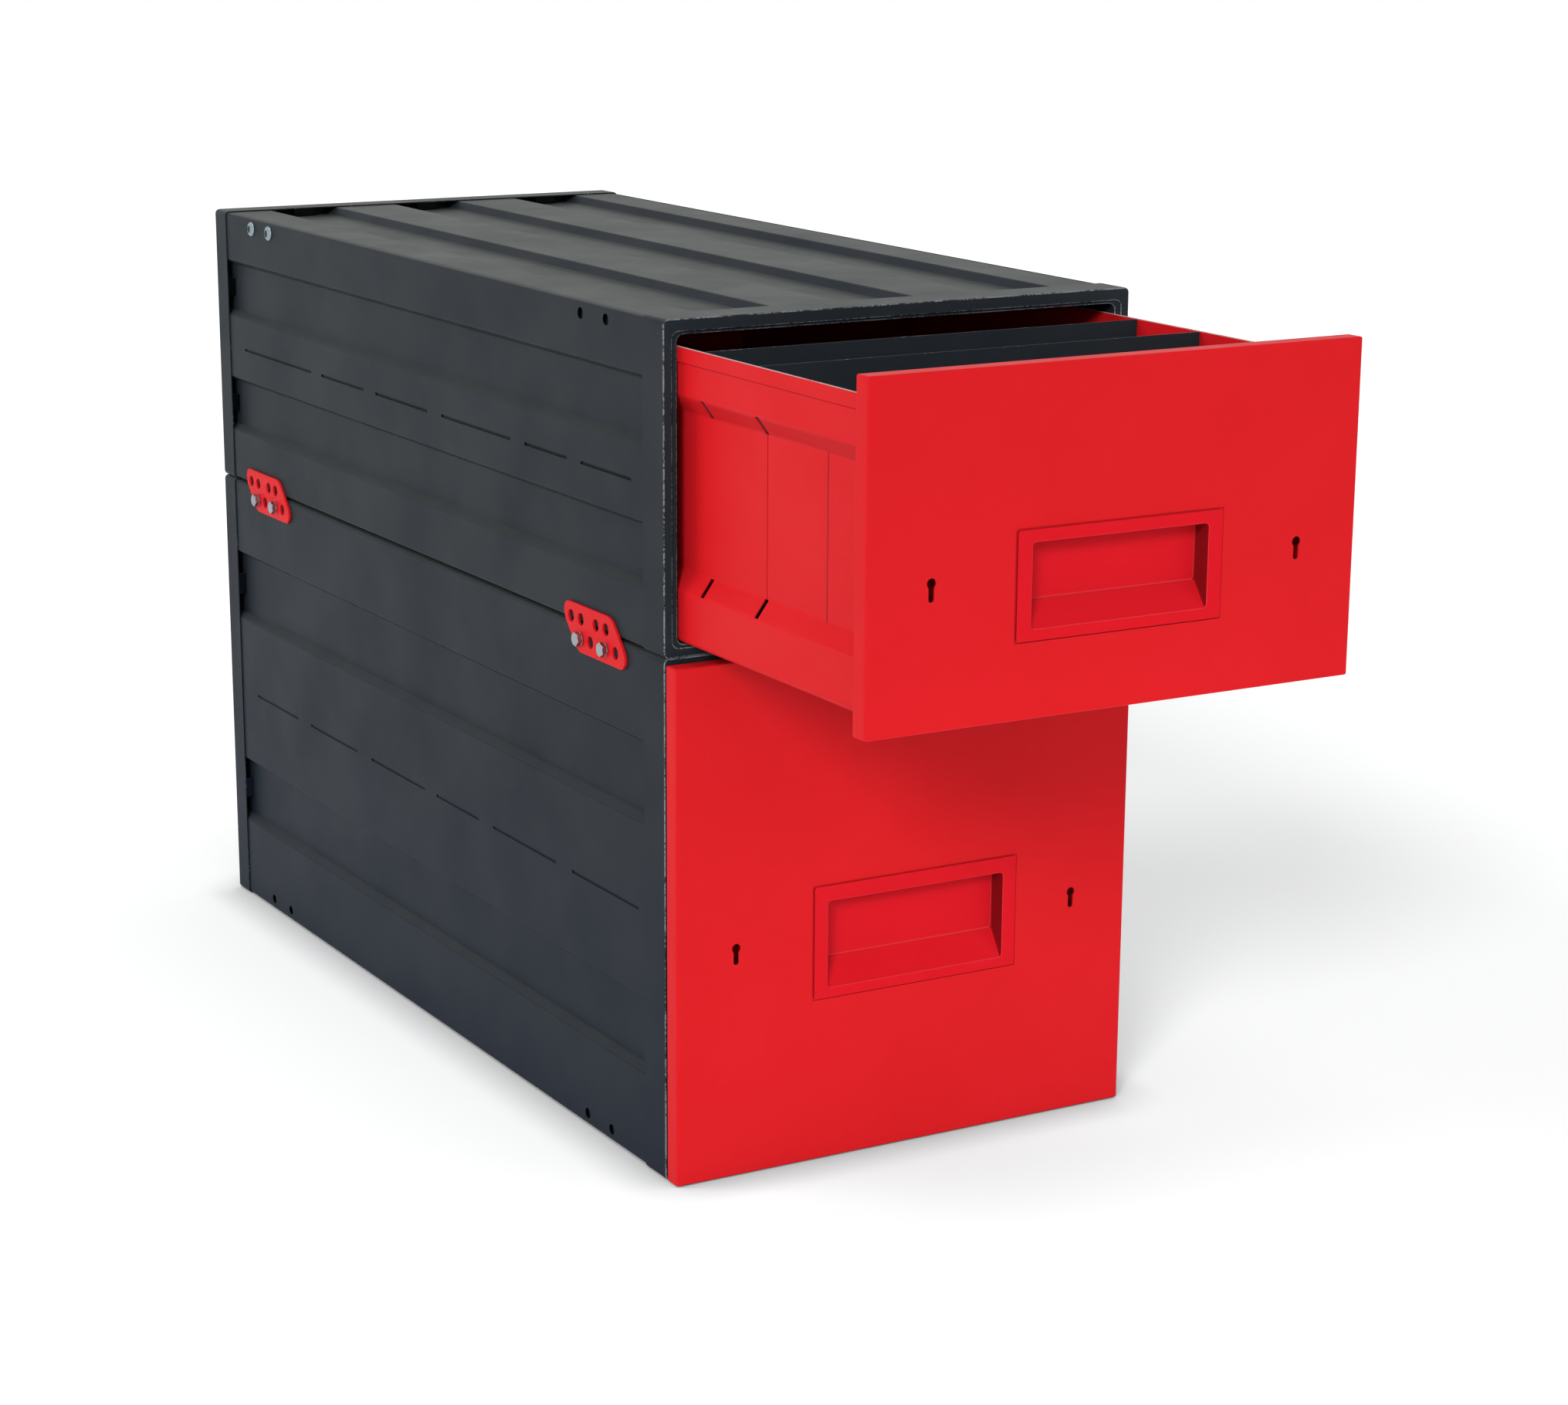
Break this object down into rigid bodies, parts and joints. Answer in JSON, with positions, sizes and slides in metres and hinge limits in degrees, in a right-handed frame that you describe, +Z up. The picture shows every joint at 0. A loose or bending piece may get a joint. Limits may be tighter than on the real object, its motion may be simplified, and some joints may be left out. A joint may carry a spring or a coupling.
{
  "type": "van drawer system",
  "caption": "Stacked lockable sheet-steel drawer units for a van floor, each with a full-width roller drawer and a recessed handle.",
  "frame": {"origin": "on the floor, under the middle of the bounding box with the upper drawer pulled out as at rest", "axes": "+Z up, +Y towards the rear of the units, so that the drawers open towards -Y, and +X to the right seen from the front"},
  "size_m": [0.5372, 1.4912, 0.84],
  "materials": {
    "red_paint": "smooth satin powder coat",
    "grey_paint": "fine satin powder coat",
    "zinc": "bright zinc plate",
    "steel": "plain steel",
    "nylon": "matte nylon"
  },
  "bodies": {
    "case": {"lower_case_left_side": "grey_paint", "lower_case_right_side": "grey_paint", "lower_case_top": "grey_paint", "lower_case_base": "grey_paint", "lower_front_collar": "grey_paint", "lower_rear_cap": "grey_paint", "lower_left_runner": "zinc", "lower_right_runner": "zinc", "lower_front_axle": "zinc", "upper_case_left_side": "grey_paint", "upper_case_right_side": "grey_paint", "upper_case_top": "grey_paint", "upper_case_base": "grey_paint", "upper_front_collar": "grey_paint", "upper_rear_cap": "grey_paint", "upper_left_runner": "zinc", "upper_right_runner": "zinc", "upper_front_axle": "zinc", "left_front_joining_plate": "red_paint", "left_rear_joining_plate": "red_paint", "right_front_joining_plate": "red_paint", "right_rear_joining_plate": "red_paint", "left_front_plate_bolts": "zinc", "left_rear_plate_bolts": "zinc", "right_front_plate_bolts": "zinc", "right_rear_plate_bolts": "zinc", "left_case_screws": "zinc", "right_case_screws": "zinc"},
    "lower_drawer": {"lower_drawer_left_side": "red_paint", "lower_drawer_right_side": "red_paint", "lower_drawer_floor": "red_paint", "lower_drawer_rear": "red_paint", "lower_drawer_front_wall": "red_paint", "lower_drawer_front": "red_paint", "lower_handle_pocket": "red_paint", "lower_left_lock_case": "steel", "lower_right_lock_case": "steel"},
    "upper_drawer": {"upper_drawer_left_side": "red_paint", "upper_drawer_right_side": "red_paint", "upper_drawer_floor": "red_paint", "upper_drawer_rear": "red_paint", "upper_drawer_front_wall": "red_paint", "upper_drawer_front": "red_paint", "upper_handle_pocket": "red_paint", "upper_left_lock_case": "steel", "upper_right_lock_case": "steel"},
    "lower_left_lock_bolt": {"lower_left_lock_bolt": "steel"},
    "lower_right_lock_bolt": {"lower_right_lock_bolt": "steel"},
    "upper_left_lock_bolt": {"upper_left_lock_bolt": "steel"},
    "upper_right_lock_bolt": {"upper_right_lock_bolt": "steel"},
    "lower_left_front_roller": {"lower_left_front_roller": "nylon"},
    "lower_right_front_roller": {"lower_right_front_roller": "nylon"},
    "upper_left_front_roller": {"upper_left_front_roller": "nylon"},
    "upper_right_front_roller": {"upper_right_front_roller": "nylon"},
    "lower_left_rear_roller": {"lower_left_rear_roller": "nylon"},
    "lower_right_rear_roller": {"lower_right_rear_roller": "nylon"},
    "upper_left_rear_roller": {"upper_left_rear_roller": "nylon"},
    "upper_right_rear_roller": {"upper_right_rear_roller": "nylon"},
    "upper_near_divider": {"upper_near_divider": "grey_paint"},
    "upper_far_divider": {"upper_far_divider": "grey_paint"}
  },
  "joints": [
    {"name": "lower_drawer_slide", "type": "slide", "parent": "case", "child": "lower_drawer", "axis": [0, -1, 0], "range_m": [0, 0.8]},
    {"name": "upper_drawer_slide", "type": "slide", "parent": "case", "child": "upper_drawer", "axis": [0, -1, 0], "range_m": [-0.337, 0.463]},
    {"name": "lower_left_lock_throw", "type": "slide", "parent": "lower_drawer", "child": "lower_left_lock_bolt", "axis": [-1, 0, 0], "range_m": [0, 0.01]},
    {"name": "lower_right_lock_throw", "type": "slide", "parent": "lower_drawer", "child": "lower_right_lock_bolt", "axis": [1, 0, 0], "range_m": [0, 0.01]},
    {"name": "upper_left_lock_throw", "type": "slide", "parent": "upper_drawer", "child": "upper_left_lock_bolt", "axis": [-1, 0, 0], "range_m": [0, 0.01]},
    {"name": "upper_right_lock_throw", "type": "slide", "parent": "upper_drawer", "child": "upper_right_lock_bolt", "axis": [1, 0, 0], "range_m": [0, 0.01]},
    {"name": "lower_left_front_roller_spin", "type": "hinge", "parent": "case", "child": "lower_left_front_roller", "pos_m": [-0.2251, -0.3534, 0.0085], "axis": [1, 0, 0], "continuous": true},
    {"name": "lower_right_front_roller_spin", "type": "hinge", "parent": "case", "child": "lower_right_front_roller", "pos_m": [0.2251, -0.3534, 0.0085], "axis": [1, 0, 0], "continuous": true},
    {"name": "upper_left_front_roller_spin", "type": "hinge", "parent": "case", "child": "upper_left_front_roller", "pos_m": [-0.2251, -0.3534, 0.5305], "axis": [1, 0, 0], "continuous": true},
    {"name": "upper_right_front_roller_spin", "type": "hinge", "parent": "case", "child": "upper_right_front_roller", "pos_m": [0.2251, -0.3534, 0.5305], "axis": [1, 0, 0], "continuous": true},
    {"name": "lower_left_rear_roller_spin", "type": "hinge", "parent": "lower_drawer", "child": "lower_left_rear_roller", "pos_m": [-0.2489, 0.6506, 0.26242], "axis": [1, 0, 0], "continuous": true},
    {"name": "lower_right_rear_roller_spin", "type": "hinge", "parent": "lower_drawer", "child": "lower_right_rear_roller", "pos_m": [0.2489, 0.6506, 0.26242], "axis": [1, 0, 0], "continuous": true},
    {"name": "upper_left_rear_roller_spin", "type": "hinge", "parent": "upper_drawer", "child": "upper_left_rear_roller", "pos_m": [-0.2489, 0.3136, 0.68195], "axis": [1, 0, 0], "continuous": true},
    {"name": "upper_right_rear_roller_spin", "type": "hinge", "parent": "upper_drawer", "child": "upper_right_rear_roller", "pos_m": [0.2489, 0.3136, 0.68195], "axis": [1, 0, 0], "continuous": true},
    {"name": "upper_near_divider_lift", "type": "slide", "parent": "upper_drawer", "child": "upper_near_divider", "axis": [0, 0, 1], "range_m": [0, 0.285]},
    {"name": "upper_far_divider_lift", "type": "slide", "parent": "upper_drawer", "child": "upper_far_divider", "axis": [0, 0, 1], "range_m": [0, 0.285]}
  ],
  "couplings": [
    {"joint": "lower_left_front_roller_spin", "follows": "lower_drawer_slide", "rad_per_m": 192.31},
    {"joint": "lower_right_front_roller_spin", "follows": "lower_drawer_slide", "rad_per_m": 192.31},
    {"joint": "upper_left_front_roller_spin", "follows": "upper_drawer_slide", "rad_per_m": 192.31},
    {"joint": "upper_right_front_roller_spin", "follows": "upper_drawer_slide", "rad_per_m": 192.31},
    {"joint": "lower_left_rear_roller_spin", "follows": "lower_drawer_slide", "rad_per_m": 83.333},
    {"joint": "lower_right_rear_roller_spin", "follows": "lower_drawer_slide", "rad_per_m": 83.333},
    {"joint": "upper_left_rear_roller_spin", "follows": "upper_drawer_slide", "rad_per_m": 83.333},
    {"joint": "upper_right_rear_roller_spin", "follows": "upper_drawer_slide", "rad_per_m": 83.333}
  ]
}
